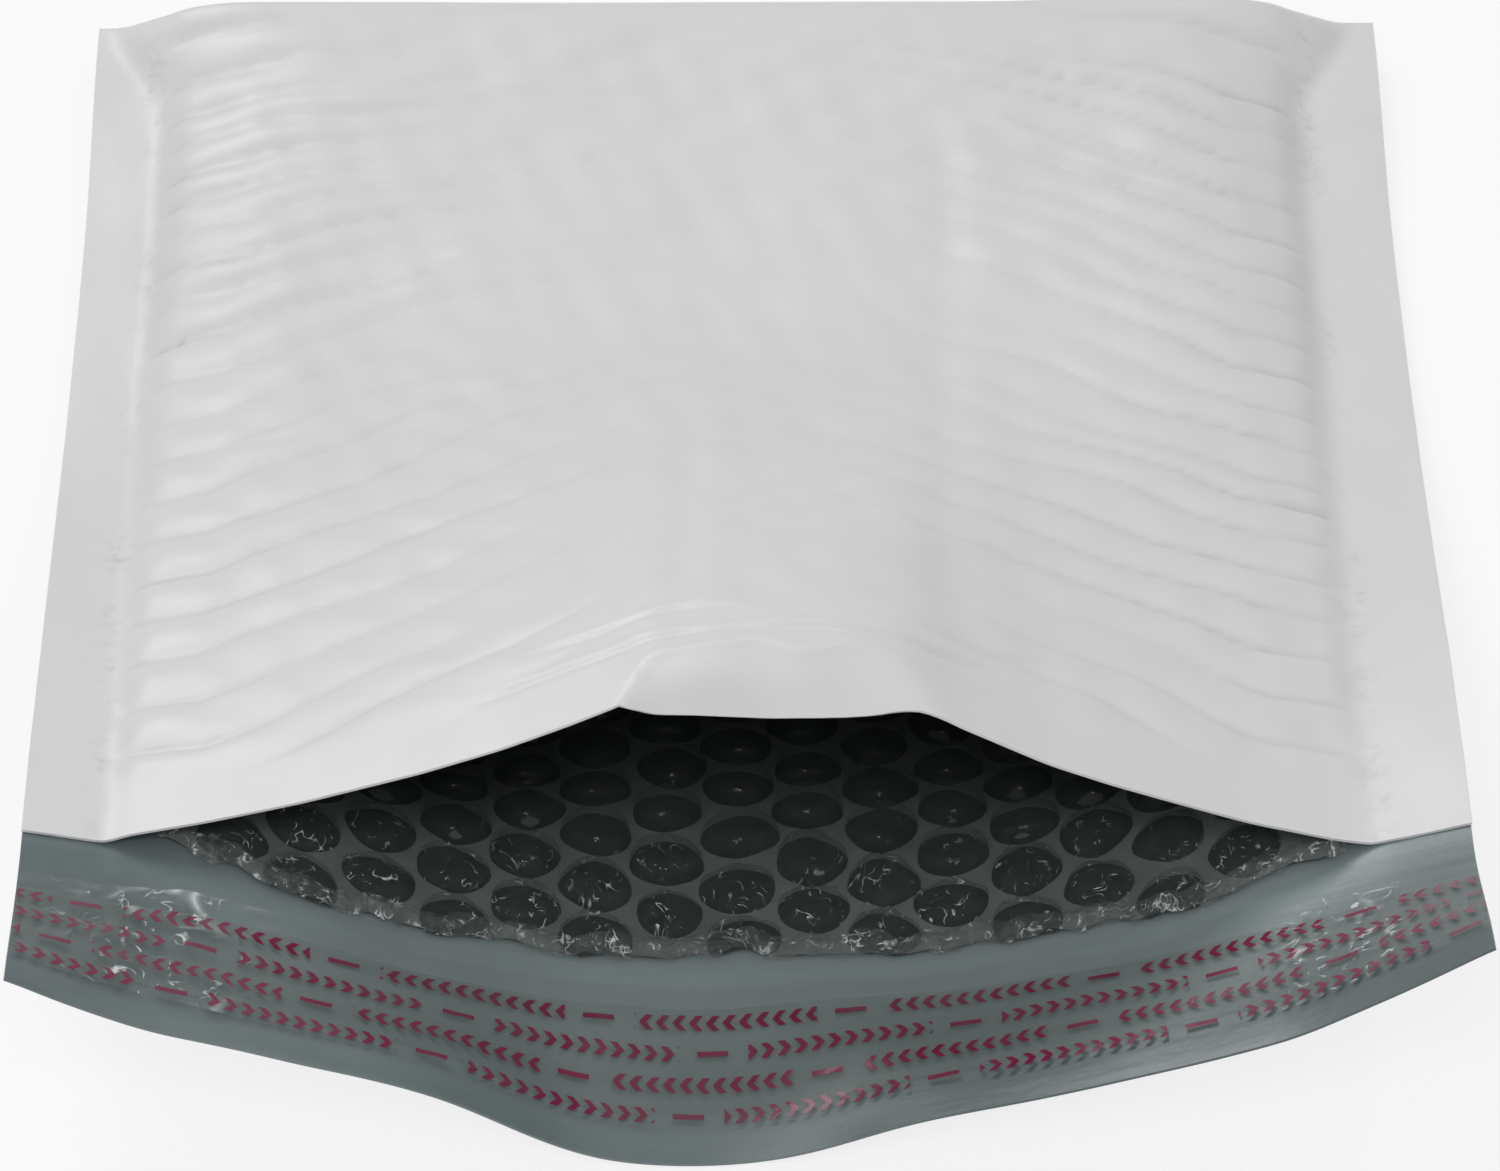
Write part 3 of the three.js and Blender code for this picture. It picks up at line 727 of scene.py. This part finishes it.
clear_liner, tree, shader = new_material("clear_liner", {"Roughness": 0.16, "Specular IOR Level": 0.35})
place = add(tree, "ShaderNodeUVMap", uv_map="UVMap").outputs["UV"]
split = add(tree, "ShaderNodeSeparateXYZ", {"Vector": place})
along, up = split.outputs["X"], split.outputs["Y"]
marks = None
for number, centre in enumerate(PRINT_ROWS):
    direction = 1 if number % 2 else -1
    start = 200.0 + ROW_SHIFT * number
    offset = math_node(tree, "SUBTRACT", up, centre)
    in_row = math_node(tree, "LESS_THAN", math_node(tree, "ABSOLUTE", offset), MARK_HALF_HEIGHT)
    bent = math_node(tree, "MULTIPLY", math_node(tree, "ABSOLUTE", offset), 0.75 * direction)
    shifted = math_node(tree, "ADD", math_node(tree, "ADD", along, bent), start)
    stroke = math_node(tree, "LESS_THAN", math_node(tree, "MODULO", shifted, MARK_PITCH), MARK_WIDTH)
    group_place = math_node(tree, "MODULO", math_node(tree, "ADD", along, start), GROUP_PITCH)
    grouped = math_node(tree, "LESS_THAN", group_place, GROUP_LENGTH)
    dash = math_node(tree, "LESS_THAN", math_node(tree, "ABSOLUTE", math_node(
        tree, "SUBTRACT", group_place, DASH_PLACE)), DASH_HALF)
    dash = math_node(tree, "MULTIPLY", dash, math_node(
        tree, "LESS_THAN", math_node(tree, "ABSOLUTE", offset), 0.40))
    row_marks = math_node(tree, "MAXIMUM", math_node(tree, "MULTIPLY", stroke, grouped), dash)
    row_marks = math_node(tree, "MULTIPLY", row_marks, in_row)
    marks = row_marks if marks is None else math_node(tree, "MAXIMUM", marks, row_marks)
# Painted glints and sheen: white crinkle lines and broad streaks where the liner has lifted, in part
# stress-whitening of the film.
glint = add(tree, "ShaderNodeGroup", {"Size": 210.0, "Width": 0.04}, node_tree=crinkle)
mottle = add(tree, "ShaderNodeGroup", {"Cloud": 60.0, "Grain": 900.0}, node_tree=film_mottle)
loose = add(tree, "ShaderNodeAttribute", attribute_name="loose").outputs["Fac"]
sheen = add(tree, "ShaderNodeGroup", {"Size": 95.0, "Width": 0.085, "Break": 95.0}, node_tree=crinkle)
whitening_and_glints = math_node(tree, "MAXIMUM", glint.outputs["Lines"],
                        math_node(tree, "MULTIPLY", sheen.outputs["Lines"], 0.95))
whitening_and_glints = math_node(tree, "MULTIPLY", whitening_and_glints, loose)
ink = math_node(tree, "MULTIPLY", marks, math_node(
    tree, "ADD", math_node(tree, "MULTIPLY", mottle.outputs["Tone"], -0.15), 1.0))
facing = add(tree, "ShaderNodeLayerWeight", {"Blend": 0.25}).outputs["Facing"]
clear = math_node(tree, "ADD", math_node(tree, "MULTIPLY", facing, 0.10), 0.09)
tree.links.new(math_node(tree, "MAXIMUM", math_node(tree, "MAXIMUM", clear, ink), whitening_and_glints),
               shader.inputs["Alpha"])
colour = mix_colour(tree, whitening_and_glints, LINER_TINT, LINER_GLINT)
tree.links.new(mix_colour(tree, ink, colour, MAGENTA), shader.inputs["Base Color"])
bump = add(tree, "ShaderNodeBump", {"Strength": 0.5, "Distance": 0.0009, "Height": math_node(
    tree, "ADD", math_node(tree, "MULTIPLY", glint.outputs["Height"], loose),
    math_node(tree, "MULTIPLY", mottle.outputs["Height"], 0.2))})
tree.links.new(bump.outputs["Normal"], shader.inputs["Normal"])

points = lip_strip(LINER_FROM, LINER_TO, 420, 34, liner_lift)
uv = np.stack([points[:, 0], points[:, 1] - LINER_FROM], axis=1)
liner = mesh_piece("release_liner_film", points, grid_faces(34, 420, 0), [clear_liner], uv=uv)
# Where the liner has lifted most; this mask places its painted glints and sheen.
set_attribute(liner, "loose", np.clip(1.15 * np.exp(-((points[:, 0] + 72) / 12) ** 2)
                                      + 1.80 * np.exp(-((points[:, 0] - 72) / 7) ** 2), 0.08, 1))
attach(liner, "root")
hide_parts("release_liner")


# --- Floor, light and camera --------------------------------------------------------------------
# A white sweep under the envelope, a large soft lamp from behind, a smaller one from the front,
# a small one for glints, and a long lens that looks down into the mouth.

floor_white, tree, shader = new_material("floor_white", {
    "Base Color": (0.92, 0.92, 0.92, 1), "Roughness": 0.9, "Specular IOR Level": 0.1})
path = add(tree, "ShaderNodeLightPath")
seen = math_node(tree, "MAXIMUM", path.outputs["Is Camera Ray"], math_node(
    tree, "MAXIMUM", path.outputs["Is Glossy Ray"], path.outputs["Is Transmission Ray"]))
glow = add(tree, "ShaderNodeEmission", {"Color": (1, 1, 1, 1), "Strength": 1.0})
blend = add(tree, "ShaderNodeMixShader", {
    0: math_node(tree, "MULTIPLY", seen, 0.78), 1: shader.outputs[0], 2: glow.outputs[0]})
tree.links.new(blend.outputs[0], tree.nodes["Material Output"].inputs["Surface"])
bpy.ops.mesh.primitive_grid_add(x_subdivisions=4, y_subdivisions=4, size=6, location=(0, 0, -0.0002))
floor = bpy.context.object
floor.name = "floor"
floor.data.materials.append(floor_white)

world = bpy.data.worlds.new("studio")
bpy.context.scene.world = world
world.use_nodes = True
tree = world.node_tree
path = add(tree, "ShaderNodeLightPath")
fill = tree.nodes["Background"]
fill.inputs["Color"].default_value = (0.99, 0.99, 1.0, 1)
fill.inputs["Strength"].default_value = 0.42
plain = add(tree, "ShaderNodeBackground", {"Color": (1, 1, 1, 1), "Strength": 1.0})
blend = add(tree, "ShaderNodeMixShader", {
    0: path.outputs["Is Camera Ray"], 1: fill.outputs[0], 2: plain.outputs[0]})
tree.links.new(blend.outputs[0], tree.nodes["World Output"].inputs["Surface"])


def area_lamp(name, place, target, size, power):
    lamp = bpy.data.objects.new(name, bpy.data.lights.new(name, "AREA"))
    lamp.data.size, lamp.data.energy = size, power
    lamp.location = place
    away = np.array(target) - np.array(place)
    tilt = math.atan2(math.hypot(away[0], away[1]), -away[2])
    lamp.rotation_euler = (tilt, 0, math.atan2(-away[0], away[1]))
    bpy.context.scene.collection.objects.link(lamp)


area_lamp("soft_lamp", (-0.85, 1.62, 1.52), (0, -0.02, 0), 1.00, 19.2)
area_lamp("front_lamp", (-0.10, -0.90, 0.95), (0, -0.06, 0.01), 0.45, 4.9)
area_lamp("glint_lamp", (0.55, 0.35, 0.95), (0, -0.08, 0), 0.05, 0.7)

VIEW_ELEVATION, VIEW_YAW = math.radians(39), math.radians(0.46)
VIEW_DISTANCE, LOOK_AT = 1.0278, (0.00097, -0.0050, 0.0)
camera = bpy.data.objects.new("camera", bpy.data.cameras.new("camera"))
camera.data.lens, camera.data.sensor_width, camera.data.sensor_fit = 186.0, 36.0, "HORIZONTAL"
camera.data.clip_start, camera.data.clip_end = 0.05, 50.0
ground_reach = VIEW_DISTANCE * math.cos(VIEW_ELEVATION)
camera.location = (LOOK_AT[0] - ground_reach * math.sin(VIEW_YAW),
                   LOOK_AT[1] - ground_reach * math.cos(VIEW_YAW),
                   LOOK_AT[2] + VIEW_DISTANCE * math.sin(VIEW_ELEVATION))
camera.rotation_euler = (math.pi / 2 - VIEW_ELEVATION, 0, -VIEW_YAW)
bpy.context.scene.collection.objects.link(camera)
bpy.context.scene.camera = camera
bpy.context.scene.view_settings.view_transform = "Standard"
